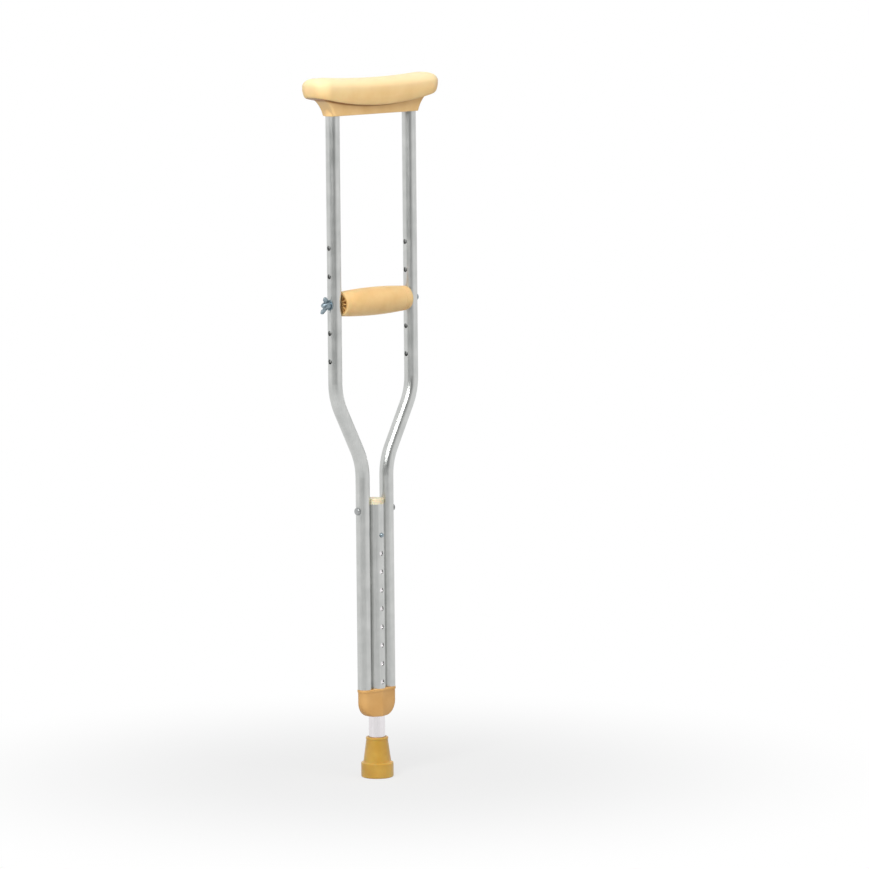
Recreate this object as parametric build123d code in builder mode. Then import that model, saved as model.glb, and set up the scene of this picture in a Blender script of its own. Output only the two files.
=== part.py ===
from build123d import *
from math import cos, radians, sin
import os

# Underarm crutch at its lowest setting. Millimetres, Z up, X across the two uprights,
# and the row of adjustment holes faces -Y. The origin is the middle of the rubber tip's
# underside, where it stands on the floor.

os.makedirs("parts", exist_ok=True)

# Tubes
upright_dia = 19.0
upright_wall = 1.2
guide_dia = 25.0
guide_wall = 1.25
leg_dia = 22.0
leg_wall = 1.2
tube_gap = 0.15  # between the guide tube and each upright
upright_spacing = 141.0  # centre to centre, above the bends
bend_radius = 80.0
lower_bend_z = 430.0  # where the straight lines of the upright's bends would meet
upper_bend_z = 521.0

# Height adjustment
leg_hole_spacing = 25.0
leg_hole_count = 9
leg_hole_radius = 3.3
first_hole_height = 9.0  # lowest hole above the connector
guide_head = 42.0  # guide tube above its top hole
leg_head = 16.0  # leg tube above the button
button_radius = 3.1
button_stand = 3.0  # how far the button stands out of the guide tube
button_shank_radius = 1.5
button_foot_radius = 2.6
button_foot_thickness = 0.8
spring_thickness = 0.7
spring_width = 9.0
spring_length = 46.0
spring_head = 7.0  # spring above the button
spring_bend = 2.5
spring_wall_gap = 0.3

# Rubber tip
tip_height = 55.0
tip_base_radius = 22.0
tip_base_height = 20.0
tip_step = 3.2  # ledge on top of the base
tip_neck_radius = 14.8
tip_floor = 13.0
tip_mouth_radius = 12.8
tip_mouth_depth = 4.0
tip_edge = 2.5
tread_depth = 2.0
tread_width = 2.5
tread_radii = (10.0, 15.5)
tip_fit = 0.05
tip_washer_thickness = 1.5
tip_washer_hole = 4.0

# Lower connector
leg_show = 29.0  # leg tube seen between tip and connector
connector_height = 38.0
connector_rim = 4.0
connector_rim_out = 0.3  # rim beyond the tubes
connector_inset = 0.8  # body inside the rim
connector_corner = 19.5
leg_clearance = 0.2
spigot_height = 24.0
spigot_wall = 2.2
spigot_edge = 0.7
spigot_fit = 0.1
spigot_pocket = 20.0
connector_rivet_height = 12.0
connector_rivet_radius = 1.6
connector_rivet_head_radius = 3.2
connector_rivet_head = 1.1

# Guide tube cap, leg bush and cross rivet
cap_head = 7.5
cap_spigot = 5.0
cap_wall = 2.5
cap_edge = 1.8
bush_head = 3.0
bush_edge = 0.8
bush_spigot = 8.0
bush_hole_radius = 6.0
bush_clearance = 0.1
plug_fit = 0.1
cross_rivet_radius = 2.5
cross_rivet_drop = 8.0  # below the guide tube's top
cross_rivet_head_radius = 5.2
cross_rivet_head = 2.8
rivet_clearance = 0.1
head_rounding = 0.8  # share of a head's height that is rounded off

# Handgrip and its bolt
grip_z = 647.0
grip_hole_spacing = 38.0
grip_hole_count = 5
grip_hole_radius = 3.3
grip_end_gap = 0.3
grip_end_radius = 16.3
grip_middle_radius = 19.0
core_radius = 14.2
core_rim = 1.3
core_hub_radius = 5.6
core_rib = 1.5
core_rib_count = 12
core_fit = 0.1
core_bolt_clearance = 0.3
bolt_radius = 3.0
bolt_head_radius = 4.8
bolt_head = 1.8
bolt_tail = 3.3  # thread beyond the wing nut's hub
bolt_edge = 0.8
washer_thickness = 1.2
washer_radius = 7.0
nut_clearance = 0.05
nut_hub_height = 8.5
nut_hub_radius = 5.4
nut_taper = 6.0
wing_span = 24.0
wing_height = 11.8
wing_thickness = 2.2
wing_foot = 1.3  # wings' lower edge at the hub, above the washer
wing_root_top = 7.6  # wings' upper edge at the hub, above the washer
wing_root_reach = 4.0  # where that edge starts, from the nut's axis
wing_end = 4.5  # height of each wing's end
wing_flat = 4.6  # length of the flat top at each wing's end
wing_angle = 17.0  # top wing turned towards the front

# Saddle
saddle_bottom_z = 899.0
saddle_width = 25.0
saddle_bottom_length = 155.6
saddle_top_length = 191.0
saddle_flare = 2.6  # hollow of the flared ends
saddle_corner = 3.0
saddle_edge = 1.2
saddle_height = 12.5  # up to the seam at the middle
seam_sag = 9.0  # how far the seam dips within seam_half_length
seam_half_length = 90.0
deck_thickness = 10.0
socket_depth = 19.5
socket_fit = 0.1
socket_end_gap = 0.5
socket_wall = 1.4
saddle_cavity_wall = 2.8
saddle_cavity_depth = 11.0
saddle_cavity_length = 112.0
saddle_rib = 1.8
saddle_rib_count = 3
screw_height = 10.0
screw_radius = 2.0
screw_length = 9.0
screw_head_radius = 4.0
screw_head = 2.0

# Underarm pad
pad_length = 224.0
pad_width = 50.0
pad_corner = 18.0
pad_height = 36.0  # above the seam, at the middle
pad_top_sag = 4.0
pad_top_half_length = 100.0
pad_crown = 11.0  # rounding along the top
pad_edge = 2.0
pad_wall = 4.5
pad_fit = 0.3
pad_roof = 12.0
pad_rib = 2.4
pad_rib_count = 11
band_margin = 2.0  # how far the arcs run past the pad's ends

# Worked out from the sizes above
upright_radius = upright_dia / 2
guide_radius = guide_dia / 2
leg_radius = leg_dia / 2
upright_bore = upright_radius - upright_wall
guide_bore = guide_radius - guide_wall
leg_bore = leg_radius - leg_wall
upper_x = upright_spacing / 2
lower_x = guide_radius + tube_gap + upright_radius
lower_reach = lower_x + upright_radius
upper_reach = upper_x + upright_radius

leg_bottom_z = tip_floor + tip_washer_thickness
connector_bottom_z = tip_height + leg_show
connector_top_z = connector_bottom_z + connector_height
leg_holes_z = [
    connector_top_z + first_hole_height + i * leg_hole_spacing for i in range(leg_hole_count)
]
button_z = leg_holes_z[-1]
guide_top_z = button_z + guide_head
leg_top_z = button_z + leg_head
cross_rivet_z = guide_top_z - cross_rivet_drop
connector_rivet_z = connector_top_z + connector_rivet_height
grip_holes_z = [
    grip_z + (i - (grip_hole_count - 1) / 2) * grip_hole_spacing
    for i in range(grip_hole_count)
]
upright_top_z = saddle_bottom_z + socket_depth - socket_end_gap
screw_z = saddle_bottom_z + screw_height
seam_z = saddle_bottom_z + saddle_height
pad_top_z = seam_z + pad_height


def save(piece, name):
    piece.label = name
    export_step(piece, f"parts/{name}.step")


# Rubber tip: a turned form with a step, a tapered neck, an open mouth and a ringed tread
with BuildPart() as rubber_tip:
    with BuildSketch(Plane.XZ):
        with BuildLine():
            Polyline(
                (0, 0),
                (tip_base_radius, 0),
                (tip_base_radius, tip_base_height),
                (tip_base_radius - tip_step, tip_base_height + tip_step / 2),
                (tip_neck_radius, tip_height),
                (tip_mouth_radius, tip_height),
                (leg_radius + tip_fit, tip_height - tip_mouth_depth),
                (leg_radius + tip_fit, tip_floor),
                (0, tip_floor),
                close=True,
            )
        make_face()
    revolve(axis=Axis.Z)
    round_edges = rubber_tip.edges().filter_by(GeomType.CIRCLE)
    base_edges = round_edges.group_by(SortBy.RADIUS)[-1].sort_by(Axis.Z)
    fillet([base_edges[0], base_edges[-1]], tip_edge)
    with BuildSketch(Plane.XY):
        for radius in tread_radii:
            Circle(radius)
            Circle(radius - tread_width, mode=Mode.SUBTRACT)
    extrude(amount=tread_depth, mode=Mode.SUBTRACT)
save(rubber_tip.part, "rubber_tip")

with BuildPart() as tip_washer:
    with BuildSketch(Plane.XY.offset(tip_floor)):
        Circle(leg_radius - tip_fit)
        Circle(tip_washer_hole, mode=Mode.SUBTRACT)
    extrude(amount=tip_washer_thickness)
save(tip_washer.part, "tip_washer")

# Leg tube, with the one hole that its button stands in
with BuildPart() as leg_tube:
    with BuildSketch(Plane.XY.offset(leg_bottom_z)):
        Circle(leg_radius)
        Circle(leg_bore, mode=Mode.SUBTRACT)
    extrude(amount=leg_top_z - leg_bottom_z)
    with BuildSketch(Plane.XZ):
        with Locations((0, button_z)):
            Circle(leg_hole_radius)
    extrude(amount=leg_dia, mode=Mode.SUBTRACT)
save(leg_tube.part, "leg_tube")

with BuildPart() as leg_bush:
    with BuildSketch(Plane.XY.offset(leg_top_z)):
        Circle(guide_bore - bush_clearance)
    extrude(amount=bush_head)
    with BuildSketch(Plane.XY.offset(leg_top_z)):
        Circle(leg_bore - plug_fit)
    extrude(amount=-bush_spigot)
    with Locations((0, 0, leg_top_z + bush_head)):
        Hole(bush_hole_radius)
    chamfer(leg_bush.edges().group_by(Axis.Z)[-1].sort_by(SortBy.RADIUS)[-1], bush_edge)
save(leg_bush.part, "leg_bush")

# Snap spring: a strip bent to a V, its front leaf flat behind the button
leaf_y = (leg_bore**2 - (spring_width / 2) ** 2) ** 0.5 - spring_wall_gap
strip_y = leaf_y - spring_thickness / 2
with BuildPart() as snap_spring:
    with BuildSketch(Plane.YZ):
        with BuildLine():
            FilletPolyline(
                (-strip_y, button_z + spring_head),
                (-strip_y, button_z - spring_head),
                (-spring_bend / 2, button_z - spring_length),
                (spring_bend / 2, button_z - spring_length),
                (strip_y, button_z - spring_head),
                (strip_y, button_z + spring_head),
                radius=spring_bend / 2,
            )
        trace(line_width=spring_thickness)
    extrude(amount=spring_width / 2, both=True)
    with BuildSketch(Plane.XZ):
        with Locations((0, button_z)):
            Circle(button_shank_radius + plug_fit)
    extrude(amount=leg_dia, mode=Mode.SUBTRACT)
save(snap_spring.part, "snap_spring")

# Snap button: turned about Y, riveted through the leaf, with a rounded nose
button_front = -guide_radius - button_stand
foot_front = -leaf_y + spring_thickness
foot_back = foot_front + button_foot_thickness
with BuildPart() as snap_button:
    with BuildSketch(Plane.YZ):
        with BuildLine():
            Polyline(
                (foot_back, button_z),
                (foot_back, button_z + button_foot_radius),
                (foot_front, button_z + button_foot_radius),
                (foot_front, button_z + button_shank_radius),
                (-leaf_y, button_z + button_shank_radius),
                (-leaf_y, button_z + button_radius),
                (button_front, button_z + button_radius),
                (button_front, button_z),
                close=True,
            )
        make_face()
    revolve(axis=Axis((0, 0, button_z), (0, 1, 0)))
    fillet(snap_button.edges().group_by(Axis.Y)[0], button_radius * head_rounding)
save(snap_button.part, "snap_button")

# Guide tube with its row of holes
with BuildPart() as guide_tube:
    with BuildSketch(Plane.XY.offset(connector_top_z)):
        Circle(guide_radius)
        Circle(guide_bore, mode=Mode.SUBTRACT)
    extrude(amount=guide_top_z - connector_top_z)
    with BuildSketch(Plane.XZ):
        with Locations([(0, z) for z in leg_holes_z]):
            Circle(leg_hole_radius)
    extrude(amount=guide_dia, mode=Mode.SUBTRACT)
    with BuildSketch(Plane.YZ):
        with Locations((0, cross_rivet_z)):
            Circle(cross_rivet_radius + rivet_clearance)
    extrude(amount=guide_dia, both=True, mode=Mode.SUBTRACT)
save(guide_tube.part, "guide_tube")

with BuildPart() as guide_tube_cap:
    with BuildSketch(Plane.XY.offset(guide_top_z)):
        Circle(guide_radius)
    extrude(amount=cap_head)
    fillet(guide_tube_cap.edges().group_by(Axis.Z)[-1], cap_edge)
    with BuildSketch(Plane.XY.offset(guide_top_z)):
        Circle(guide_bore - plug_fit)
        Circle(guide_bore - plug_fit - cap_wall, mode=Mode.SUBTRACT)
    extrude(amount=-cap_spigot)
save(guide_tube_cap.part, "guide_tube_cap")


# Uprights: a tube on a route of two bends, close together at the foot and apart at the top
def make_upright(side):
    with BuildPart() as upright:
        with BuildLine(Plane.XZ):
            FilletPolyline(
                (side * lower_x, connector_top_z),
                (side * lower_x, lower_bend_z),
                (side * upper_x, upper_bend_z),
                (side * upper_x, upright_top_z),
                radius=bend_radius,
            )
        with BuildSketch(Plane.XY.offset(connector_top_z)):
            with Locations((side * lower_x, 0)):
                Circle(upright_radius)
                Circle(upright_bore, mode=Mode.SUBTRACT)
        sweep()
        with BuildSketch(Plane.YZ.offset(side * upper_x)):
            with Locations([(0, z) for z in grip_holes_z]):
                Circle(grip_hole_radius)
        extrude(amount=upright_dia, both=True, mode=Mode.SUBTRACT)
        with BuildSketch(Plane.YZ.offset(side * lower_x)):
            with Locations((0, cross_rivet_z)):
                Circle(cross_rivet_radius + rivet_clearance)
        extrude(amount=upright_dia, both=True, mode=Mode.SUBTRACT)
        with BuildSketch(Plane.XZ):
            with Locations((side * lower_x, connector_rivet_z)):
                Circle(connector_rivet_radius + rivet_clearance)
            with Locations((side * upper_x, screw_z)):
                Circle(screw_radius + rivet_clearance)
        extrude(amount=-upright_dia, mode=Mode.SUBTRACT)
    return upright.part


save(make_upright(-1), "left_upright")
save(make_upright(1), "right_upright")

# Cross rivet through all three tubes
with BuildPart() as cross_rivet:
    with BuildSketch(Plane.YZ):
        with Locations((0, cross_rivet_z)):
            Circle(cross_rivet_radius)
    extrude(amount=lower_reach, both=True)
    with BuildSketch(Plane.YZ.offset(lower_reach), Plane.YZ.offset(-lower_reach - cross_rivet_head)):
        with Locations((0, cross_rivet_z)):
            Circle(cross_rivet_head_radius)
    extrude(amount=cross_rivet_head)
    fillet(cross_rivet.edges().group_by(Axis.X)[0], cross_rivet_head * head_rounding)
    fillet(cross_rivet.edges().group_by(Axis.X)[-1], cross_rivet_head * head_rounding)
save(cross_rivet.part, "cross_rivet")


def tubes_outline(margin):
    # hull of the three tubes at the foot, grown by the margin
    with Locations((-lower_x, 0), (lower_x, 0)):
        Circle(upright_radius + margin)
    Circle(guide_radius + margin)
    make_hull()


# Lower connector: rounded foot, rim under the tubes, hollow spigots and the leg's bore
connector_half = lower_reach + connector_rim_out
with BuildPart() as lower_connector:
    with BuildSketch(Plane.XY.offset(connector_bottom_z)):
        tubes_outline(connector_rim_out - connector_inset)
    extrude(amount=connector_height - connector_rim)
    with BuildSketch(Plane.XZ) as side_form:
        with Locations((0, connector_top_z)):
            Rectangle(2 * connector_half, 2 * connector_height)
        fillet(side_form.vertices().group_by(Axis.Y)[0], connector_corner)
    extrude(amount=guide_dia, both=True, mode=Mode.INTERSECT)
    with BuildSketch(Plane.XY.offset(connector_top_z - connector_rim)):
        tubes_outline(connector_rim_out)
    extrude(amount=connector_rim)
    with BuildSketch(Plane.XY.offset(connector_top_z)):
        with Locations((-lower_x, 0), (lower_x, 0)):
            Circle(upright_bore - spigot_fit)
    extrude(amount=spigot_height)
    chamfer(lower_connector.edges().group_by(Axis.Z)[-1], spigot_edge)
    spigot_top_z = connector_top_z + spigot_height
    with Locations((-lower_x, 0, spigot_top_z), (lower_x, 0, spigot_top_z)):
        Hole(upright_bore - spigot_fit - spigot_wall, spigot_height + spigot_pocket)
    with Locations((0, 0, connector_top_z)):
        Hole(leg_radius + leg_clearance)
    with BuildSketch(Plane.XZ):
        with Locations((-lower_x, connector_rivet_z), (lower_x, connector_rivet_z)):
            Circle(connector_rivet_radius + rivet_clearance)
    extrude(amount=-upright_dia, mode=Mode.SUBTRACT)
save(lower_connector.part, "lower_connector")

# Blind rivets at the back, through each upright into its spigot
rivet_grip = upright_wall + spigot_fit + spigot_wall
with BuildPart() as connector_rivets:
    with BuildSketch(Plane.XZ.offset(-upright_radius + rivet_grip)):
        with Locations((-lower_x, connector_rivet_z), (lower_x, connector_rivet_z)):
            Circle(connector_rivet_radius)
    extrude(amount=-rivet_grip)
    with BuildSketch(Plane.XZ.offset(-upright_radius)):
        with Locations((-lower_x, connector_rivet_z), (lower_x, connector_rivet_z)):
            Circle(connector_rivet_head_radius)
    extrude(amount=-connector_rivet_head)
    fillet(connector_rivets.edges().group_by(Axis.Y)[-1], connector_rivet_head * head_rounding)
save(connector_rivets.part, "connector_rivets")

# Handgrip: a turned barrel over a ribbed core, both bored for the bolt's axis
grip_half = upper_x - upright_radius - grip_end_gap
grip_axis = Axis((0, 0, grip_z), (1, 0, 0))
sleeve_bore_z = grip_z + core_radius + core_fit
with BuildPart() as handgrip_sleeve:
    with BuildSketch(Plane.XZ) as barrel:
        with BuildLine():
            Line((-grip_half, sleeve_bore_z), (-grip_half, grip_z + grip_end_radius))
            ThreePointArc(
                (-grip_half, grip_z + grip_end_radius),
                (0, grip_z + grip_middle_radius),
                (grip_half, grip_z + grip_end_radius),
            )
            Line((grip_half, grip_z + grip_end_radius), (grip_half, sleeve_bore_z))
            Line((grip_half, sleeve_bore_z), (-grip_half, sleeve_bore_z))
        make_face()
        end_corners = barrel.vertices().group_by(Axis.Y)[-1]
        fillet(end_corners, (grip_end_radius - core_radius - core_fit) * head_rounding)
    revolve(axis=grip_axis)
save(handgrip_sleeve.part, "handgrip_sleeve")

core_section = Plane(origin=(-grip_half, 0, grip_z), x_dir=(0, 1, 0), z_dir=(1, 0, 0))
with BuildPart() as handgrip_core:
    with BuildSketch(core_section):
        Circle(core_radius)
        Circle(core_radius - core_rim, mode=Mode.SUBTRACT)
        Circle(core_hub_radius)
        rib_reach = core_radius - core_rim / 2
        with PolarLocations(rib_reach / 2, core_rib_count):
            Rectangle(rib_reach, core_rib)
        Circle(bolt_radius + core_bolt_clearance, mode=Mode.SUBTRACT)
    extrude(amount=2 * grip_half)
save(handgrip_core.part, "handgrip_core")

# Grip bolt along X: its head at the right, its threaded tail at the left
nut_seat_x = -upper_reach - washer_thickness
bolt_tail_x = nut_seat_x - nut_hub_height - bolt_tail
bolt_section = Plane(origin=(bolt_tail_x, 0, grip_z), x_dir=(0, 1, 0), z_dir=(1, 0, 0))
head_section = Plane(origin=(upper_reach, 0, grip_z), x_dir=(0, 1, 0), z_dir=(1, 0, 0))
with BuildPart() as grip_bolt:
    with BuildSketch(bolt_section):
        Circle(bolt_radius)
    extrude(amount=upper_reach - bolt_tail_x)
    with BuildSketch(head_section):
        Circle(bolt_head_radius)
    extrude(amount=bolt_head)
    fillet(grip_bolt.edges().group_by(Axis.X)[-1], bolt_head * head_rounding)
    chamfer(grip_bolt.edges().group_by(Axis.X)[0], bolt_edge)
save(grip_bolt.part, "grip_bolt")


with BuildPart() as nut_washer:
    with BuildSketch(Plane(origin=(nut_seat_x, 0, grip_z), x_dir=(0, 1, 0), z_dir=(1, 0, 0))):
        Circle(washer_radius)
        Circle(grip_hole_radius, mode=Mode.SUBTRACT)
    extrude(amount=washer_thickness)
save(nut_washer.part, "nut_washer")

# Wing nut, on a plane whose x runs along the wings and whose z points away from the tube
tilt = radians(wing_angle)
nut_plane = Plane(
    origin=(nut_seat_x, 0, grip_z), x_dir=(0, -sin(tilt), cos(tilt)), z_dir=(-1, 0, 0)
)
wing_plane = Plane(origin=nut_plane.origin, x_dir=nut_plane.x_dir, z_dir=-nut_plane.y_dir)
wing_reach = wing_span / 2
wing_root_inside = nut_hub_radius / 2
with BuildPart() as wing_nut:
    with BuildSketch(nut_plane):
        Circle(nut_hub_radius)
    extrude(amount=nut_hub_height, taper=nut_taper)
    with BuildSketch(wing_plane):
        with BuildLine():
            Polyline(
                (wing_root_inside, wing_foot),
                (nut_hub_radius, wing_foot),
                (wing_reach, wing_height - wing_end),
                (wing_reach, wing_height),
                (wing_reach - wing_flat, wing_height),
                (wing_root_reach, wing_root_top),
                (wing_root_inside, wing_root_top),
                close=True,
            )
        make_face()
        mirror(about=Plane.YZ)
    extrude(amount=wing_thickness / 2, both=True)
    with Locations(nut_plane):
        Cylinder(bolt_radius + nut_clearance, 4 * nut_hub_height, mode=Mode.SUBTRACT)
save(wing_nut.part, "wing_nut")


# Heights along X of the shallow arcs that bound the saddle and the pad
def seam_height(x):
    return seam_z + seam_sag * (x / seam_half_length) ** 2


def deck_top_height(x):
    return seam_height(x) + deck_thickness


def rib_foot_height(x):
    return deck_top_height(x) + pad_fit


def pad_top_height(x):
    return pad_top_z + pad_top_sag * (x / pad_top_half_length) ** 2


def roof_height(x):
    return pad_top_height(x) - pad_roof


def below_saddle(x):
    return seam_height(x) - pad_width


# The outline between two such arcs, seen from the front
def arc_band(low, high):
    end = pad_length / 2 + band_margin
    with BuildLine() as outline:
        ThreePointArc((-end, low(end)), (0, low(0)), (end, low(end)))
        Line((end, low(end)), (end, high(end)))
        ThreePointArc((end, high(end)), (0, high(0)), (-end, high(end)))
        Line((-end, high(end)), (-end, low(end)))
    return outline.line


def curved_slab(length, width, corner, low, high):
    with BuildPart() as slab:
        with BuildSketch(Plane.XY.offset(saddle_bottom_z)):
            RectangleRounded(length, width, corner)
        extrude(amount=pad_top_z - saddle_bottom_z + pad_width)
        with BuildSketch(Plane.XZ):
            add(arc_band(low, high))
            make_face()
        extrude(amount=pad_width, both=True, mode=Mode.INTERSECT)
    return slab.part


# Saddle: a body with flared ends, two socket bosses and ribs below, under the deck for the pad
pocket_length = pad_length - 2 * pad_wall
pocket_width = pad_width - 2 * pad_wall
pocket_corner = pad_corner - pad_wall
deck = curved_slab(
    pocket_length - 2 * pad_fit,
    pocket_width - 2 * pad_fit,
    pocket_corner - pad_fit,
    seam_height,
    deck_top_height,
)
cell_length = saddle_cavity_length / (saddle_rib_count + 1)
flare_top_z = seam_height(saddle_top_length / 2)
flare_foot = (saddle_bottom_length / 2, saddle_bottom_z)
flare_tip = (saddle_top_length / 2, flare_top_z)
with BuildPart() as saddle:
    with BuildSketch(Plane.XZ):
        with BuildLine():
            Line((0, saddle_bottom_z), flare_foot)
            SagittaArc(flare_foot, flare_tip, saddle_flare)
            Line(flare_tip, (0, flare_top_z))
            mirror(about=Plane.YZ)
        make_face()
    extrude(amount=saddle_width / 2, both=True)
    fillet(saddle.edges().filter_by(GeomType.CIRCLE), saddle_corner)
    fillet(saddle.edges().group_by(Axis.Z)[0], saddle_edge)
    with BuildSketch(Plane.XZ):
        add(arc_band(below_saddle, seam_height))
        make_face()
    extrude(amount=pad_width, both=True, mode=Mode.INTERSECT)
    add(deck)
    with BuildSketch(Plane.XY.offset(saddle_bottom_z)):
        with Locations((-upper_x, 0), (upper_x, 0)):
            Circle(upright_radius + socket_fit + socket_wall)
    extrude(amount=socket_depth + socket_wall)
    with BuildSketch(Plane.XY.offset(saddle_bottom_z)):
        with GridLocations(cell_length, 0, saddle_rib_count + 1, 1):
            RectangleRounded(cell_length - saddle_rib, saddle_width - 2 * saddle_cavity_wall, saddle_rib)
    extrude(amount=saddle_cavity_depth, mode=Mode.SUBTRACT)
    with BuildSketch(Plane.XY.offset(saddle_bottom_z)):
        with Locations((-upper_x, 0), (upper_x, 0)):
            Circle(upright_radius + socket_fit)
    extrude(amount=socket_depth, mode=Mode.SUBTRACT)
    with BuildSketch(Plane.XZ):
        with Locations((-upper_x, screw_z), (upper_x, screw_z)):
            Circle(screw_radius + rivet_clearance)
    extrude(amount=-saddle_width, mode=Mode.SUBTRACT)
save(saddle.part, "saddle")

with BuildPart() as saddle_screws:
    with BuildSketch(Plane.XZ.offset(-saddle_width / 2)):
        with Locations((-upper_x, screw_z), (upper_x, screw_z)):
            Circle(screw_radius)
    extrude(amount=screw_length)
    with BuildSketch(Plane.XZ.offset(-saddle_width / 2)):
        with Locations((-upper_x, screw_z), (upper_x, screw_z)):
            Circle(screw_head_radius)
    extrude(amount=-screw_head)
    fillet(saddle_screws.edges().group_by(Axis.Y)[-1], screw_head * head_rounding)
save(saddle_screws.part, "saddle_screws")

# Underarm pad: a crowned shell over the deck, with cross ribs between deck and roof
shell = curved_slab(pad_length, pad_width, pad_corner, seam_height, pad_top_height)
pocket = curved_slab(pocket_length, pocket_width, pocket_corner, below_saddle, roof_height)
rib_room = curved_slab(
    pocket_length + pad_rib,
    pocket_width + pad_rib,
    pocket_corner + pad_rib / 2,
    rib_foot_height,
    roof_height,
)
with BuildPart() as pad_ribs:
    with BuildSketch(Plane.XY.offset(saddle_bottom_z)):
        with GridLocations(pocket_length / (pad_rib_count + 1), 0, pad_rib_count, 1):
            Rectangle(pad_rib, pad_width)
    extrude(amount=pad_top_z - saddle_bottom_z)
    add(rib_room, mode=Mode.INTERSECT)
with BuildPart() as underarm_pad:
    add(shell)
    top_edges = underarm_pad.faces().sort_by(Axis.Z)[-1].edges()
    fillet(top_edges, pad_crown)
    foot_edges = underarm_pad.faces().sort_by(Axis.Z)[0].edges()
    fillet(foot_edges, pad_edge)
    add(pocket, mode=Mode.SUBTRACT)
    add(pad_ribs.part)
save(underarm_pad.part, "underarm_pad")
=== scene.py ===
from math import cos, pi, radians, sin, tan

import bmesh
import bpy
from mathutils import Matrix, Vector


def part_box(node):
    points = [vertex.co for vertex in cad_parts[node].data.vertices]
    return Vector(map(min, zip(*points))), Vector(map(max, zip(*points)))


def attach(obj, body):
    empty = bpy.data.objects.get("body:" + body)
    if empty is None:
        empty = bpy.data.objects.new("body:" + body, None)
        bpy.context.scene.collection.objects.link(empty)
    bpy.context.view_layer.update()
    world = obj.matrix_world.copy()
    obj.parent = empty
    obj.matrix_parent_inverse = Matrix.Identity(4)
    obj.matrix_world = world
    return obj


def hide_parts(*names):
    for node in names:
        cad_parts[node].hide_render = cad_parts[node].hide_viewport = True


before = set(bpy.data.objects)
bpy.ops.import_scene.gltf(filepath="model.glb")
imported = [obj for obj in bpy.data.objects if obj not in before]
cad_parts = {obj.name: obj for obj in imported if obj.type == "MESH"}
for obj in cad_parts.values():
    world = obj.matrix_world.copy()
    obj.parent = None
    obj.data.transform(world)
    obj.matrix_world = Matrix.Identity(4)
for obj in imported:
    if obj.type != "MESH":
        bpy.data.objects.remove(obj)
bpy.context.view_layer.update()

# An underarm crutch. Sizes are in millimetres and turned into Blender's metres with mm.
mm = 0.001

gripHeight = 647.0  # of the bolt's axis
seam = {  # between the saddle and the pad
    "height": 911.5,  # at the middle
    "rise": 9.0 / 90 ** 2,  # per square millimetre along X
}
pureWhite = (1, 1, 1, 1)


def hexColour(code):
    # sRGB hex to the linear colour that shaders want
    parts = [int(code[i:i + 2], 16) / 255 for i in (1, 3, 5)]
    linear = [p / 12.92 if p <= 0.04045 else ((p + 0.055) / 1.055) ** 2.4 for p in parts]
    return (*linear, 1.0)


def addNode(tree, kind, values=None, links=None, **settings):
    node = tree.nodes.new(kind)
    for name, value in settings.items():
        setattr(node, name, value)
    for name, value in (values or {}).items():
        node.inputs[name].default_value = value
    for name, socket in (links or {}).items():
        tree.links.new(socket, node.inputs[name])
    return node


# Materials
texture = {
    "mottle": 35,  # colour patches in what is moulded
    "stain": 18,  # and on metal
    "spread": (0.35, 0.65),  # of a pattern, from its first colour to its second
    "handled": 0.07,  # roughness either way where hands have been
    "polished": 0.08,  # metal's roughness at its smoothest, below its own
    "dulled": 0.1,
    "mouldedBump": 0.6,
    "metalBump": 0.4,
    "seamShadowEdge": 0.4,  # below the seam, where the painted shadow line starts to fade
    "seamShadowStrength": 0.8,
}


def startMaterial(name, shader):
    material = bpy.data.materials.new(name)
    material.use_nodes = True
    tree = material.node_tree
    tree.nodes.clear()
    surface = addNode(tree, "ShaderNodeBsdfPrincipled", shader)
    addNode(tree, "ShaderNodeOutputMaterial", links={"Surface": surface.outputs[0]})
    place = addNode(tree, "ShaderNodeTexCoord").outputs["Object"]
    return material, tree, surface, place


def noise(tree, place, size, detail):
    return addNode(tree, "ShaderNodeTexNoise", {"Scale": 1 / (size * mm), "Detail": detail},
                   {"Vector": place}).outputs["Fac"]


def tone(tree, factor, colours):
    # two colours mixed by a pattern
    ramp = addNode(tree, "ShaderNodeValToRGB", links={"Fac": factor})
    for element, position, colour in zip(ramp.color_ramp.elements, texture["spread"], colours):
        element.position = position
        element.color = hexColour(colour)
    return ramp.outputs["Color"]


def mixed(tree, factor, first, colour):
    # sockets 6 and 7 are the mix node's two colours, and output 2 the result
    mix = addNode(tree, "ShaderNodeMix", data_type="RGBA", links={0: factor, 6: first})
    mix.inputs[7].default_value = hexColour(colour)
    return mix.outputs[2]


def paintedSeamShadow(tree, place, first, seamShadow):
    # painted shade: a thin dark line under a shallow arc along X, standing for the pad's shadow where it
    # overhangs the saddle
    axes = addNode(tree, "ShaderNodeSeparateXYZ", links={"Vector": place}).outputs
    square = addNode(tree, "ShaderNodeMath", operation="MULTIPLY", links={0: axes["X"], 1: axes["X"]})
    arc = addNode(tree, "ShaderNodeMath", {1: seamShadow["rise"] / mm, 2: seamShadow["height"] * mm},
                  {0: square.outputs[0]}, operation="MULTIPLY_ADD")
    below = addNode(tree, "ShaderNodeMath", links={0: arc.outputs[0], 1: axes["Z"]}, operation="SUBTRACT")
    fade = addNode(tree, "ShaderNodeMapRange",
                   {"From Min": texture["seamShadowEdge"] * mm, "From Max": seamShadow["width"] * mm,
                    "To Min": texture["seamShadowStrength"], "To Max": 0.0},
                   {"Value": below.outputs[0]}, interpolation_type="SMOOTHSTEP")
    return mixed(tree, fade.outputs["Result"], first, seamShadow["colour"])


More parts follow.
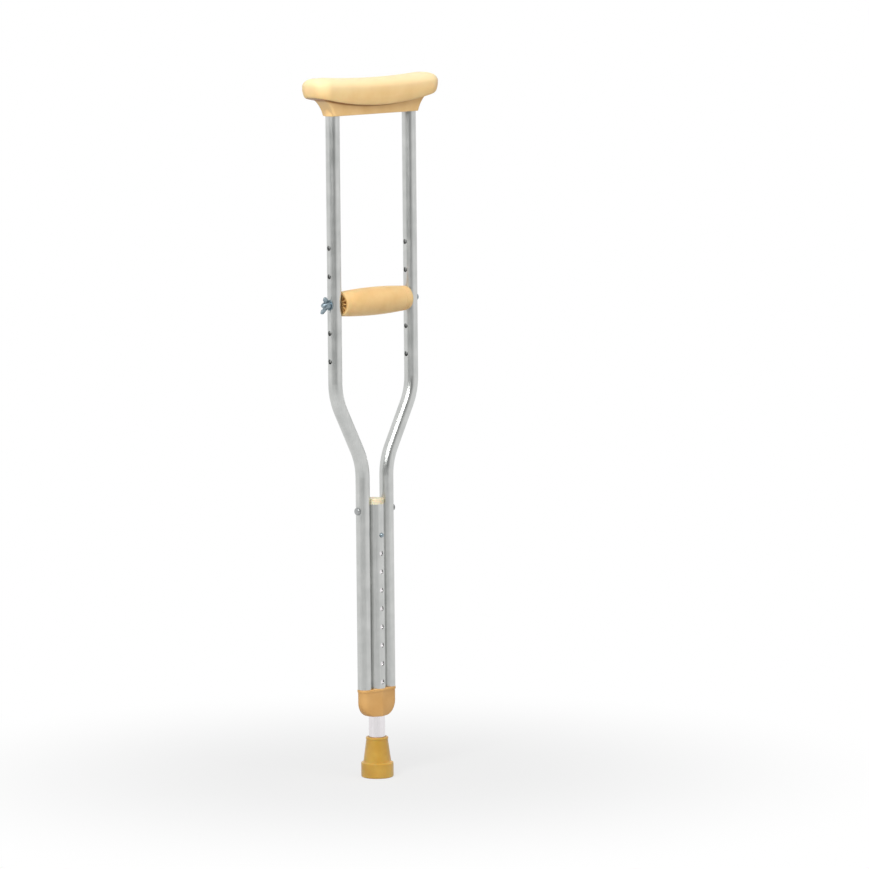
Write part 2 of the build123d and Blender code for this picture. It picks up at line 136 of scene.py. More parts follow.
def finishSurface(tree, surface, pattern, rough, relief, strength, depth):
    # roughness that varies with one pattern, and a low relief from another
    varied = addNode(tree, "ShaderNodeMapRange", {"To Min": rough[0], "To Max": rough[1]},
                     {"Value": pattern})
    tree.links.new(varied.outputs["Result"], surface.inputs["Roughness"])
    bump = addNode(tree, "ShaderNodeBump", {"Strength": strength, "Distance": depth * mm},
                   {"Height": relief})
    tree.links.new(bump.outputs["Normal"], surface.inputs["Normal"])


def moulded(name, colours, roughness, grain, depth, shader, paintedTopLight=None, seamShadow=None):
    # grain is the size of the surface texture and depth its height, both in mm
    material, tree, surface, place = startMaterial(name, shader)
    cloud = noise(tree, place, texture["mottle"], detail=4.0)
    colour = tone(tree, cloud, colours)
    if paintedTopLight:
        # painted highlight: the top is paler, as light falls on it, between two heights
        height = addNode(tree, "ShaderNodeSeparateXYZ", links={"Vector": place}).outputs["Z"]
        fade = addNode(tree, "ShaderNodeMapRange",
                       {"From Min": paintedTopLight["low"] * mm, "From Max": paintedTopLight["high"] * mm},
                       {"Value": height}, interpolation_type="SMOOTHSTEP")
        colour = mixed(tree, fade.outputs["Result"], colour, paintedTopLight["colour"])
    # painted shade: a dark line just under the seam, where the pad overhangs
    if seamShadow:
        colour = paintedSeamShadow(tree, place, colour, seamShadow)
    tree.links.new(colour, surface.inputs["Base Color"])
    handled = (roughness - texture["handled"], roughness + texture["handled"])
    pores = noise(tree, place, grain, detail=3.0)
    finishSurface(tree, surface, cloud, handled, pores, texture["mouldedBump"], depth)
    return material


drawn = (1, 1, 0.02)  # stretches a pattern into lines along Z
evenly = (1, 1, 1)  # leaves it as it is


def metal(name, colours, roughness, streak, depth, stretch=drawn):
    # streak is the width of the drawing lines or the size of the specks, in mm
    material, tree, surface, place = startMaterial(name, {"Metallic": 1.0})
    stretched = addNode(tree, "ShaderNodeMapping", {"Scale": stretch}, {"Vector": place})
    lines = noise(tree, stretched.outputs["Vector"], streak, detail=5.0)
    stain = noise(tree, place, texture["stain"], detail=6.0)
    added = addNode(tree, "ShaderNodeMath", links={0: lines, 1: stain}, operation="ADD").outputs[0]
    both = addNode(tree, "ShaderNodeMath", {1: 2.0}, {0: added}, operation="DIVIDE").outputs[0]
    tree.links.new(tone(tree, both, colours), surface.inputs["Base Color"])
    worn = (roughness - texture["polished"], roughness + texture["dulled"])
    finishSurface(tree, surface, both, worn, lines, texture["metalBump"], depth)
    return material


rubberShader = {"IOR": 1.5, "Subsurface Weight": 0.15, "Subsurface Scale": 4 * mm}
materials = {
    # closed-cell foam with a moulded skin: soft and dull, with a painted highlight making it paler along the
    # top
    "padFoam": moulded("moulded foam rubber", ("#EBC486", "#F2D094"), roughness=0.6, grain=1.1, depth=0.12,
                       shader={**rubberShader, "Sheen Weight": 0.1, "Sheen Roughness": 0.5},
                       paintedTopLight={"low": 925, "high": 954, "colour": "#F8E2B4"}),
    # thermoplastic rubber barrel: a little shinier where the hand holds it
    "gripRubber": moulded("thermoplastic rubber", ("#E3B878", "#EEC98C"), roughness=0.46, grain=0.9,
                          depth=0.1, shader=rubberShader),
    # dense vulcanised gum rubber: amber, a little glossy and faintly see-through
    "tipRubber": moulded("gum rubber", ("#C69838", "#D6AC4C"), roughness=0.36, grain=1.4, depth=0.08,
                         shader={**rubberShader, "Subsurface Weight": 0.3, "Coat Weight": 0.15}),
    # injection-moulded polypropylene in the pad's own tan, with a painted shadow line just under the pad's
    # seam
    "saddlePlastic": moulded("moulded polypropylene", ("#E6BC7C", "#F0CA8E"), roughness=0.42, grain=0.7,
                             depth=0.05, shader={"IOR": 1.49},
                             seamShadow={**seam, "width": 3.0, "colour": "#9A5E18"}),
    # the grip's ribbed core is of the same plastic, darker and without that painted shadow line
    "corePlastic": moulded("moulded polypropylene core", ("#C89A58", "#D8AC6C"), roughness=0.5, grain=0.7,
                           depth=0.05, shader={"IOR": 1.49}),
    # glass-filled nylon: orange tan and matt, with a fibrous mottle
    "connectorPlastic": moulded("glass-filled nylon", ("#D6A058", "#E0AE6A"), roughness=0.48, grain=0.8,
                                depth=0.08, shader={"IOR": 1.53}),
    # natural polyethylene plug: cream and waxy
    "capPlastic": moulded("polyethylene", ("#E2D2AC", "#EFE4C8"), roughness=0.4, grain=0.9, depth=0.04,
                          shader={"IOR": 1.51, "Subsurface Weight": 0.2, "Subsurface Scale": 3 * mm}),
    # drawn tube, satin anodised: soft grey with fine lines along its length
    "tubeAluminium": metal("anodised aluminium", ("#BCBEBC", "#D2D3D1"), roughness=0.3, streak=0.9,
                           depth=0.02),
    # the sliding leg is polished bright by its bush
    "legAluminium": metal("polished aluminium", ("#E4E0E2", "#F2EEF0"), roughness=0.24, streak=0.9,
                          depth=0.015),
    # rivets: headed aluminium, a little darker than the tubes
    "rivetAluminium": metal("headed aluminium", ("#9A9C9C", "#B8BABA"), roughness=0.36, streak=1.2,
                            depth=0.02, stretch=evenly),
    # bright zinc plate: bluish grey and mottled
    "zincPlate": metal("zinc-plated steel", ("#6E7F88", "#AEBBC2"), roughness=0.34, streak=1.5,
                       depth=0.03, stretch=evenly),
    # blued spring strip inside the leg
    "springSteel": metal("spring steel", ("#5C6066", "#84888E"), roughness=0.3, streak=0.8, depth=0.02),
}
nodeFinish = {
    "saddle": "saddlePlastic",
    "handgrip_core": "corePlastic",
    "left_upright": "tubeAluminium",
    "right_upright": "tubeAluminium",
    "guide_tube": "tubeAluminium",
    "guide_tube_cap": "capPlastic",
    "leg_bush": "capPlastic",
    "leg_tube": "legAluminium",
    "snap_button": "zincPlate",
    "snap_spring": "springSteel",
    "tip_washer": "zincPlate",
    "nut_washer": "zincPlate",
    "cross_rivet": "rivetAluminium",
}
for nodeName, finish in nodeFinish.items():
    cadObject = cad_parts[nodeName]
    cadObject.data.materials.clear()
    cadObject.data.materials.append(materials[finish])
print("materials made:", len(materials))


# Mesh helpers
sharpAngle = radians(38)  # edges bent further than this stay sharp
weld = 0.002 * mm
cornerLimit = 0.48  # how much of a side one rounded corner may take


def boxOf(node):
    # low and high corner of a CAD node's box, in millimetres
    return [Vector(corner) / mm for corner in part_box(node)]


def meshFrom(work, name):
    # merged, turned outward, and smooth but for sharp corners
    bmesh.ops.remove_doubles(work, verts=work.verts, dist=weld)
    bmesh.ops.recalc_face_normals(work, faces=work.faces)
    for face in work.faces:
        face.smooth = True
    for edge in work.edges:
        if len(edge.link_faces) == 2 and edge.calc_face_angle(0) > sharpAngle:
            edge.smooth = False
    mesh = bpy.data.meshes.new(name)
    work.to_mesh(mesh)
    work.free()
    return mesh


def addObject(mesh, name):
    piece = bpy.data.objects.new(name, mesh)
    bpy.context.scene.collection.objects.link(piece)
    return piece


def placePiece(mesh, name, material, body, replaced):
    # tied to its CAD body, in place of its CAD node
    mesh.materials.clear()
    mesh.materials.append(materials[material])
    piece = addObject(mesh, name)
    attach(piece, body)
    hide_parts(*replaced)
    return piece


def softCorners(corners, steps=5):
    # (along, out, radius) corners of a closed outline, each rounded by its radius
    path = []
    for i, (x, y, radius) in enumerate(corners):
        here = Vector((x, y))
        if radius == 0:
            path.append((x, y))
            continue
        before = Vector(corners[i - 1][:2]) - here
        after = Vector(corners[(i + 1) % len(corners)][:2]) - here
        reach = radius / tan(before.angle(after) / 2)
        reach = min(reach, cornerLimit * before.length, cornerLimit * after.length)
        start = here + before.normalized() * reach
        end = here + after.normalized() * reach
        for k in range(steps + 1):
            t = k / steps
            path.append(tuple(start.lerp(here, t).lerp(here.lerp(end, t), t)))
    return path


def circle(along, radius, segments, axis, place=(0, 0, 0)):
    # points round an axis (0, 1 or 2 for X, Y or Z) through place, some way along it
    points = []
    for i in range(segments):
        a = 2 * pi * i / segments
        offset = [radius * cos(a), radius * sin(a)]
        offset.insert(axis, along)
        points.append(tuple(p + o for p, o in zip(place, offset)))
    return points


def addRings(work, rings, closeLoop=False, caps=False):
    # quads between neighbouring rings of points
    made = [[work.verts.new(Vector(point) * mm) for point in ring] for ring in rings]
    pairs = list(zip(made, made[1:]))
    if closeLoop:
        pairs.append((made[-1], made[0]))
    for low, high in pairs:
        for i in range(len(low)):
            j = (i + 1) % len(low)
            work.faces.new((low[i], low[j], high[j], high[i]))
    if caps:
        work.faces.new(made[0])
        work.faces.new(made[-1])


def turned(work, profile, place, segments, axis):
    # a closed (along, radius) profile spun round an axis through place
    rings = [circle(along, radius, segments, axis, place) for along, radius in profile]
    addRings(work, rings, closeLoop=True)


def repeated(piece, name, material, body, start, step, count, replaced):
    # Geometry Nodes copy a small piece along a straight row
    tree = bpy.data.node_groups.new(name + "Row", "GeometryNodeTree")
    inputs = {}
    sockets = {"Geometry": "Geometry", "Start": "Vector", "Step": "Vector", "Count": "Int"}
    for label, kind in sockets.items():
        inputs[label] = tree.interface.new_socket(label, in_out="INPUT", socket_type="NodeSocket" + kind)
    tree.interface.new_socket("Geometry", in_out="OUTPUT", socket_type="NodeSocketGeometry")
    given = addNode(tree, "NodeGroupInput").outputs
    row = addNode(tree, "GeometryNodeMeshLine", mode="OFFSET",
                  links={"Count": given["Count"], "Start Location": given["Start"],
                         "Offset": given["Step"]})
    copies = addNode(tree, "GeometryNodeInstanceOnPoints",
                     links={"Points": row.outputs[0], "Instance": given["Geometry"]})
    whole = addNode(tree, "GeometryNodeRealizeInstances", links={0: copies.outputs[0]})
    painted = addNode(tree, "GeometryNodeSetMaterial", {"Material": materials[material]},
                      {"Geometry": whole.outputs[0]})
    addNode(tree, "NodeGroupOutput", links={0: painted.outputs[0]})
    modifier = piece.modifiers.new("row", "NODES")
    modifier.node_group = tree
    modifier[inputs["Start"].identifier] = [v * mm for v in start]
    modifier[inputs["Step"].identifier] = [v * mm for v in step]
    modifier[inputs["Count"].identifier] = count
    evaluated = piece.evaluated_get(bpy.context.evaluated_depsgraph_get())
    mesh = bpy.data.meshes.new_from_object(evaluated)
    bpy.data.objects.remove(piece)
    placePiece(mesh, name, material, body, replaced)


# Underarm pad: a crowned moulding, hollow below, whose seam and top follow two shallow arcs
pad = {
    "corner": 18,  # of its plan
    "cornerSteps": 12,
    "pitch": 4,  # between points along its sides
    "topHeight": 947.5,
    "topRise": 4.0 / 100 ** 2,
    "wall": 4.5,
    "roof": 12,  # of the hollow, below the top
    # out from the wall's inner face, and height over the seam
    "lip": ((0, 1.2), (0.3, 0.4), (0.8, 0.1)),
    # in from the outline, and height over the seam
    "side": ((3.2, 0.3), (2.4, 1.1), (1.8, 2.2), (1.3, 3.7), (0.8, 5.8), (0.3, 8.4), (0.05, 11.0)),
    "crownWide": 17,
    "crownHigh": 12,
    "crownSteps": 10,
    "crownDrop": 1.0,  # below the top, where the crown's curve ends
    "flat": ((20, 0.55), (22.5, 0.2)),  # in from the outline, and depth below the top
}


def padSeam(x):
    return seam["height"] + seam["rise"] * x * x


def padTop(x):
    return pad["topHeight"] + pad["topRise"] * x * x


def roundedPlan(halfLength, halfWidth):
    corner = pad["corner"]
    cornerSteps = pad["cornerSteps"]
    quarters = [(1, 1), (-1, 1), (-1, -1), (1, -1)]

    def onCorner(quarter, share):
        sx, sy = quarters[quarter % len(quarters)]
        a = pi / 2 * (quarter + share)
        return (sx * (halfLength - corner) + corner * cos(a),
                sy * (halfWidth - corner) + corner * sin(a))

    points = []
    for quarter in range(len(quarters)):
        points += [onCorner(quarter, k / cornerSteps) for k in range(cornerSteps + 1)]
        last = Vector(points[-1])
        following = Vector(onCorner(quarter + 1, 0))
        steps = max(2, int((following - last).length / pad["pitch"]))
        points += [tuple(last.lerp(following, k / steps)) for k in range(1, steps)]
    return points


def makePad():
    low, high = boxOf("underarm_pad")
    halfLength = (high.x - low.x) / 2
    halfWidth = (high.y - low.y) / 2
    plan = roundedPlan(halfLength, halfWidth)
    inside = [(inset, pad["roof"]) for inset in (halfWidth, halfWidth / 2, pad["wall"])]
    fromSeam = [(pad["wall"] - out, level) for out, level in pad["lip"]]
    fromSeam += pad["side"]
    fromTop = [(0.0, pad["crownHigh"] + pad["crownDrop"])]
    for k in range(1, pad["crownSteps"] + 1):
        a = pi / 2 * k / pad["crownSteps"]
        fromTop.append((pad["crownWide"] * (1 - cos(a)), pad["crownDrop"] + pad["crownHigh"] * (1 - sin(a))))
    fromTop += [*pad["flat"], (halfWidth, 0.0)]
    rings = []
    for surface, sign, levels in ((padTop, -1, inside), (padSeam, 1, fromSeam), (padTop, -1, fromTop)):
        for inset, level in levels:
            ring = []
            for x, y in plan:
                px = x * (halfLength - inset) / halfLength
                py = y * (halfWidth - inset) / halfWidth
                ring.append((px, py, surface(px) + sign * level))
            rings.append(ring)
    work = bmesh.new()
    addRings(work, rings)
    mesh = meshFrom(work, "underarmPad")
    piece = placePiece(mesh, "underarmPad", "padFoam", "frame", ["underarm_pad"])


makePad()
print("pad made")

# Handgrip sleeve: a barrel with rounded lips and a few turned lines near each end
grip = {
    "bore": 14.3,
    "endRadius": 16.3,
    "middleRadius": 19.0,
    "lip": 1.8,
    "lines": (7.0, 9.6, 12.2),  # from each end
    "lineDepth": 0.35,
    "lineWidth": 0.9,
    "lineShape": ((-1, 0), (-0.4, 1), (0.4, 1), (1, 0)),  # shares of half the width and of the depth
    "stations": 40,
    "segments": 96,
}


def makeGrip():
    low, high = boxOf("handgrip_sleeve")
    half = (high.x - low.x) / 2
    swell = grip["middleRadius"] - grip["endRadius"]

    def barrel(x):
        return grip["endRadius"] + swell * (1 - (x / half) ** 2)

    length = 2 * half - 2 * grip["lip"]
    stops = [-half + grip["lip"] + k * length / grip["stations"] for k in range(grip["stations"] + 1)]
    profile = [(x, barrel(x), 0) for x in stops]
    for fromEnd in grip["lines"]:
        for side in (-1, 1):
            middle = side * (half - fromEnd)
            profile = [p for p in profile if abs(p[0] - middle) > grip["lineWidth"]]
            for shift, depth in grip["lineShape"]:
                x = middle + shift * grip["lineWidth"] / 2
                profile.append((x, barrel(x) - depth * grip["lineDepth"], 0))
    profile.sort()
    outline = [(-half, grip["bore"], 0), (-half, grip["endRadius"], grip["lip"])]
    outline += profile[1:-1]
    outline += [(half, grip["endRadius"], grip["lip"]), (half, grip["bore"], 0)]
    work = bmesh.new()
    turned(work, softCorners(outline), (0, 0, gripHeight), grip["segments"], axis=0)
    mesh = meshFrom(work, "gripSleeve")
    placePiece(mesh, "gripSleeve", "gripRubber", "grip", ["handgrip_sleeve"])


makeGrip()
print("grip made")

# Rubber tip: stepped base with a ringed tread, tapered neck and a rolled mouth
tip = {
    "base": 22.0,
    "baseHeight": 20.0,
    "step": 3.2,
    "neck": 14.8,
    "neckTaper": 0.1,
    "height": 55.0,
    "bore": 11.05,
    "mouth": 12.8,
    "mouthDepth": 4.0,
    "floor": 13.0,
    "rings": ((7.5, 10.0), (13.0, 15.5)),  # grooves of the tread
    "ringDepth": 2.0,
    "lipHeight": 3.2,
    "lipRise": 0.4,
    "lipOut": 0.5,
    "lipTaper": 0.2,
    "segments": 128,
}
tipCorners = {  # radii
    "ringEdge": 0.3,
    "ringRoot": 0.4,
    "heel": 2.5,
    "shoulder": 1.6,
    "neckFoot": 1.2,
    "lipRoot": 0.5,
    "lipTop": 1.2,
    "mouth": 0.8,
}


def makeTip():
    neckFoot = tip["base"] - tip["step"]
    neckTop = tip["height"] - tip["lipHeight"]
    lip = tip["neck"] + tip["lipOut"]
    outline = [(0, 0, 0)]
    for inner, outer in tip["rings"]:
        outline += [
            (0, inner, tipCorners["ringEdge"]),
            (tip["ringDepth"], inner, tipCorners["ringRoot"]),
            (tip["ringDepth"], outer, tipCorners["ringRoot"]),
            (0, outer, tipCorners["ringEdge"]),
        ]
    outline += [
        (0, tip["base"], tipCorners["heel"]),
        (tip["baseHeight"], tip["base"], tipCorners["shoulder"]),
        (tip["baseHeight"] + tip["step"] / 2, neckFoot, tipCorners["neckFoot"]),
        (neckTop, tip["neck"] - tip["neckTaper"], tipCorners["lipRoot"]),
        (neckTop + tip["lipRise"], lip, tipCorners["lipRoot"]),
        (tip["height"], lip - tip["lipTaper"], tipCorners["lipTop"]),
        (tip["height"], tip["mouth"], tipCorners["mouth"]),
        (tip["height"] - tip["mouthDepth"], tip["bore"], tipCorners["mouth"]),
        (tip["floor"], tip["bore"], 0),
        (tip["floor"], 0, 0),
    ]
    work = bmesh.new()
    turned(work, softCorners(outline), (0, 0, 0), tip["segments"], axis=2)
    mesh = meshFrom(work, "rubberTip")
    placePiece(mesh, "rubberTip", "tipRubber", "leg", ["rubber_tip"])


makeTip()
print("tip made")

# Lower connector: a moulded bowl with a rim under the three tubes and a bore for the leg
connector = {
    "sideX": 22.15,
    "sideRadius": 9.5,
    "middleRadius": 12.5,
    "rim": 4.0,
    "rimOut": 0.3,
    "bodyIn": 0.5,
    "bowl": 19.5,  # height of the rounded foot
    "bowlSteps": 14,
    "footReach": 12.5,
    "footTaper": 0.3,
    "bore": 11.2,
    "boreEdge": 0.2,
    "edge": 0.6,
    "segments": 144,
}


def tubesOutline(margin, normals):
    # hull of the three tubes, point by point round its normals
    tubes = [(-connector["sideX"], connector["sideRadius"]), (0, connector["middleRadius"]),
             (connector["sideX"], connector["sideRadius"])]
    points = []
    for a in normals:
        centre, radius = max(tubes, key=lambda tube: tube[0] * cos(a) + tube[1])
        points.append((centre + (radius + margin) * cos(a), (radius + margin) * sin(a)))
    return points


def makeConnector():
    bottom = boxOf("lower_connector")[0].z
    top = boxOf("guide_tube")[0].z
    segments = connector["segments"]
    normals = [2 * pi * (i + 0.5) / segments for i in range(segments)]
    rimFoot = top - connector["rim"]
    edge = connector["edge"]
    out = connector["rimOut"]
    body = -connector["bodyIn"]
    foot = connector["footReach"]
    reach = connector["sideX"] + connector["sideRadius"] + body
    # height, margin round the tubes and share of the length, from the rim down
    levels = [
        (top, out - edge, 1.0),
        (top - edge / 3, out - edge / 3, 1.0),
        (top - edge, out, 1.0),
        (rimFoot + edge, out, 1.0),
        (rimFoot + edge / 3, out - edge / 4, 1.0),
        (rimFoot, body + edge / 4, 1.0),
        (rimFoot - edge, body, 1.0),
    ]
    for k in range(connector["bowlSteps"], -1, -1):
        a = pi / 2 * k / connector["bowlSteps"]
        levels.append((bottom + connector["bowl"] * (1 - cos(a)),
                       body - connector["footTaper"] * (1 - sin(a)),
                       (foot + (reach - foot) * sin(a)) / reach))
    rings = [[(x * share, y, z) for x, y in tubesOutline(margin, normals)] for z, margin, share in levels]
    for z in (bottom + connector["boreEdge"], top):
        rings.append([(connector["bore"] * cos(a), connector["bore"] * sin(a), z) for a in normals])
    work = bmesh.new()
    addRings(work, rings, closeLoop=True)
    mesh = meshFrom(work, "lowerConnector")
    placePiece(mesh, "lowerConnector", "connectorPlastic", "frame", ["lower_connector"])


makeConnector()
print("connector made")

# Grip bolt: plain shank, rolled thread at its tail and a low domed head
bolt = {
    "radius": 3.0,
    "pitch": 1.0,
    "threadLength": 18.0,
    "threadDepth": 0.5,
    "stepsPerTurn": 8,
    "lead": 0.6,  # how much thinner its end is
    "leadLength": 0.8,
    "head": 4.8,
    "headHeight": 1.8,
    "headSeat": 80.0,
    "headEdge": 0.2,
    "headRound": 1.5,
    "headPole": 0.02,
    "segments": 24,
}


def makeBolt():
    tail = boxOf("grip_bolt")[0].x
    segments = bolt["segments"]
    pitch = bolt["pitch"]
    rings = []
    count = int(bolt["threadLength"] / pitch * bolt["stepsPerTurn"])
    for k in range(count + 1):
        along = k * pitch / bolt["stepsPerTurn"]
        runOut = min(1.0, along / pitch, (bolt["threadLength"] - along) / pitch)
        lead = bolt["lead"] * max(0.0, 1 - along / bolt["leadLength"])
        ring = []
        for i in range(segments):
            share = (along / pitch - i / segments) % 1.0
            flank = abs(2 * share - 1)
            radius = bolt["radius"] - bolt["threadDepth"] * flank * max(runOut, 0) - lead
            a = 2 * pi * i / segments
            ring.append((tail + along, radius * cos(a), gripHeight + radius * sin(a)))
        rings.append(ring)
    headTop = bolt["headSeat"] + bolt["headHeight"]
    dome = softCorners([
        (bolt["headSeat"], bolt["radius"], 0),
        (bolt["headSeat"], bolt["head"], bolt["headEdge"]),
        (headTop, bolt["head"], bolt["headRound"]),
        (headTop, bolt["headPole"], 0),
    ])
    rings += [circle(along, radius, segments, 0, (0, 0, gripHeight)) for along, radius in dome]
    work = bmesh.new()
    addRings(work, rings, caps=True)
    mesh = meshFrom(work, "gripBolt")
    placePiece(mesh, "gripBolt", "zincPlate", "frame", ["grip_bolt"])


makeBolt()
print("bolt made")

# Wing nut: a turned hub with two pressed ears that are rounded at their edges
nut = {
    "seat": 81.2,  # its face, along -X
    "bore": 3.05,
    "hub": 5.4,
    "hubTop": 4.5,
    "hubHeight": 8.5,
    "hubCorners": (0.3, 0.5, 0.8, 0.4),  # radii, from the seat's inner edge outward and back
    "hubSegments": 48,
    "angle": 17.0,  # degrees that the ears lean from upright
    # an ear's outline: out from the axis, away from the tube, corner radius
    "ear": ((3.6, 1.4, 0), (5.6, 1.4, 1.5), (12.0, 7.2, 2.4), (12.0, 11.8, 2.4), (7.2, 11.8, 2.2),
            (3.6, 7.7, 0)),
    "earSteps": 6,
    "earRoot": 3.6,  # inside the hub
    "earMiddle": (8.2, 6.6),
    "thick": 2.2,
    # shares of half the thickness, and of the outline's size there
    "layers": ((-1.0, 0.86), (-0.8, 0.96), (-0.3, 1.0), (0.3, 1.0), (0.8, 0.96), (1.0, 0.86)),
}


def makeWingNut():
    work = bmesh.new()
    corners = [(0, nut["bore"]), (0, nut["hub"]), (-nut["hubHeight"], nut["hubTop"]),
               (-nut["hubHeight"], nut["bore"])]
    hub = softCorners([(along, out, radius) for (along, out), radius in zip(corners, nut["hubCorners"])])
    turned(work, hub, (-nut["seat"], 0, gripHeight), nut["hubSegments"], axis=0)
    turn = radians(nut["angle"])
    outward = Vector((0, -sin(turn), cos(turn)))
    across = Vector((0, cos(turn), sin(turn)))
    ear = softCorners(nut["ear"], nut["earSteps"])
    middle = Vector(nut["earMiddle"])
    for side in (-1, 1):
        rings = []
        for level, share in nut["layers"]:
            ring = []
            for u, v in ear:
                point = Vector((u, v))
                if u > nut["earRoot"]:
                    point = middle.lerp(point, share)
                place = outward * side * point.x + across * level * nut["thick"] / 2
                ring.append((-nut["seat"] - point.y, place.y, gripHeight + place.z))
            rings.append(ring)
        addRings(work, rings, caps=True)
    mesh = meshFrom(work, "wingNut")
    placePiece(mesh, "wingNut", "zincPlate", "nut", ["wing_nut"])


makeWingNut()
print("wing nut made")

# Screws and rivets at the back, repeated in rows of two
screws = {
    "head": 4.0,
    "headHeight": 2.0,
    "shank": 2.0,
    "shankLength": 9.0,
    "count": 2,
    "row": 141.0,
    "height": 909.0,
    "seat": 12.5,
}
rivets = {
    "head": 3.2,
    "headHeight": 1.1,
    "shank": 1.6,
    "shankLength": 3.5,
    "count": 2,
    "seat": 9.5,
}
headShape = {
    "dome": ((0, 1), (0.35, 1), (0.75, 0.88), (1, 0.6)),  # shares of the head's height and radius
    "segments": 32,
    "recess": 0.16,  # reach between the arms of the cross, as a share of the radius
    "recessArm": 0.36,  # how much further the arms go
    "recessTaper": 0.25,
    "recessTop": 1.06,  # shares of the head's height
    "recessDepth": 0.55,
}


def makeHead(sizes, crossed):
    # domed head facing +Y on a plain shank, with or without a cross-shaped recess
    segments = headShape["segments"]
    radius = sizes["head"]
    high = sizes["headHeight"]
    profile = [(-sizes["shankLength"], 0), (-sizes["shankLength"], sizes["shank"]), (0, sizes["shank"])]
    profile += [(high * up, radius * out) for up, out in headShape["dome"]]
    rings = [circle(along, out, segments, 1) for along, out in profile]
    if crossed:
        for depth in (0, 1):
            level = high * (headShape["recessTop"] - headShape["recessDepth"] * depth)
            taper = 1 - headShape["recessTaper"] * depth
            ring = []
            for i in range(segments):
                a = 2 * pi * i / segments
                arm = (1 + cos(4 * a)) / 2  # 1 along the four arms, 0 between them
                out = radius * (headShape["recess"] + headShape["recessArm"] * arm ** 2) * taper
                ring.append((out * cos(a), level, out * sin(a)))
            rings.append(ring)
    lastLevel = rings[-1][0][1]
    rings.append(circle(lastLevel, 0, segments, 1))
    work = bmesh.new()
    addRings(work, rings)
    return addObject(meshFrom(work, "head"), "head")


repeated(makeHead(screws, crossed=True), "saddleScrews", "zincPlate", "frame",
         (-screws["row"] / 2, screws["seat"], screws["height"]),
         (screws["row"], 0, 0), screws["count"], ["saddle_screws"])
rivetLow, rivetHigh = boxOf("connector_rivets")
rivetRow = rivetHigh.x - rivetLow.x - 2 * rivets["head"]
repeated(makeHead(rivets, crossed=False), "connectorRivets", "rivetAluminium", "frame",
         (-rivetRow / 2, rivets["seat"], (rivetLow.z + rivetHigh.z) / 2),
         (rivetRow, 0, 0), rivets["count"], ["connector_rivets"])
print("screws and rivets made")


# Floor, camera and light, in metres
floorSet = {
    "half": 4.0,
    "paper": "#C8C8C8",
    "glow": 0.7,
    "shadowTo": 0.12,  # from the tip; inside it the floor is greyest, a painted shadow pool around the real shadow
    "whiteFrom": 0.75,
}


def makeFloor():
    # white paper: camera rays see it near white, with the object's soft shadow left on it and a painted
    # shadow pool greying it near the tip
    material = bpy.data.materials.new("white paper")
    material.use_nodes = True
    tree = material.node_tree
    tree.nodes.clear()
    paper = addNode(tree, "ShaderNodeBsdfDiffuse", {"Color": hexColour(floorSet["paper"])})
    glow = addNode(tree, "ShaderNodeEmission", {"Color": pureWhite, "Strength": 1.0})
    seen = addNode(tree, "ShaderNodeLightPath")
    watched = addNode(tree, "ShaderNodeMath", operation="MAXIMUM",
                      links={0: seen.outputs["Is Camera Ray"], 1: seen.outputs["Is Glossy Ray"]})
    place = addNode(tree, "ShaderNodeTexCoord").outputs["Object"]
    away = addNode(tree, "ShaderNodeVectorMath", links={0: place}, operation="LENGTH")
    # painted shade: greyer near the tip whatever the light, fading to plain white further out
    fade = addNode(tree, "ShaderNodeMapRange",
                   {"From Min": floorSet["shadowTo"], "From Max": floorSet["whiteFrom"],
                    "To Min": floorSet["glow"], "To Max": 1.0},
                   {"Value": away.outputs["Value"]}, interpolation_type="SMOOTHSTEP")
    share = addNode(tree, "ShaderNodeMath", operation="MULTIPLY",
                    links={0: watched.outputs[0], 1: fade.outputs["Result"]})
    sheet = addNode(tree, "ShaderNodeMixShader",
                    links={0: share.outputs[0], 1: paper.outputs[0], 2: glow.outputs[0]})
    addNode(tree, "ShaderNodeOutputMaterial", links={"Surface": sheet.outputs[0]})
    half = floorSet["half"]
    corners = [(-half, -half, 0), (half, -half, 0), (half, half, 0), (-half, half, 0)]
    mesh = bpy.data.meshes.new("floor")
    mesh.from_pydata(corners, [], [(0, 1, 2, 3)])
    mesh.materials.append(material)
    floor = addObject(mesh, "floor")


makeFloor()

cameraSet = {
    "azimuth": -43.6,
    "elevation": 6.57,
    "roll": -0.58,
    "distance": 8.0,
    "clipEnd": 60,
    "lens": 246.3,  # this and the sensor's width are in millimetres
    "sensor": 36,
    "aim": (0, 0, 0.48),
    "shift": (0.0697, -0.0115),
}


def makeCamera():
    a = radians(cameraSet["azimuth"])
    e = radians(cameraSet["elevation"])
    r = radians(cameraSet["roll"])
    right = Vector((cos(a), sin(a), 0))
    back = Vector((sin(a) * cos(e), -cos(a) * cos(e), sin(e)))
    up = back.cross(right)
    rolledRight = right * cos(r) + up * sin(r)
    rolledUp = up * cos(r) - right * sin(r)
    data = bpy.data.cameras.new("camera")
    data.lens = cameraSet["lens"]
    data.sensor_width = cameraSet["sensor"]
    data.shift_x, data.shift_y = cameraSet["shift"]
    data.clip_end = cameraSet["clipEnd"]
    camera = addObject(data, "camera")
    place = Vector(cameraSet["aim"]) + back * cameraSet["distance"]
    for row in range(3):
        camera.matrix_world[row] = (rolledRight[row], rolledUp[row], back[row], place[row])
    bpy.context.scene.camera = camera
    return right, back


cameraRight, cameraBack = makeCamera()
flatBack = Vector((cameraBack.x, cameraBack.y, 0)).normalized()

# each lamp stands so far back toward the camera, to the camera's right, and up
lamps = {
    "key": {"back": 2.0, "right": -0.7, "up": 1.9, "size": (1.2, 1.2), "watts": 46, "mirrored": True},
    "top": {"back": 0.3, "right": 0.0, "up": 3.0, "size": (1.4, 1.4), "watts": 20, "mirrored": False},
    "fill": {"back": 1.8, "right": 2.2, "up": 1.0, "size": (1.4, 2.0), "watts": 14, "mirrored": False},
}
lampAim = (0, 0, 0.5)


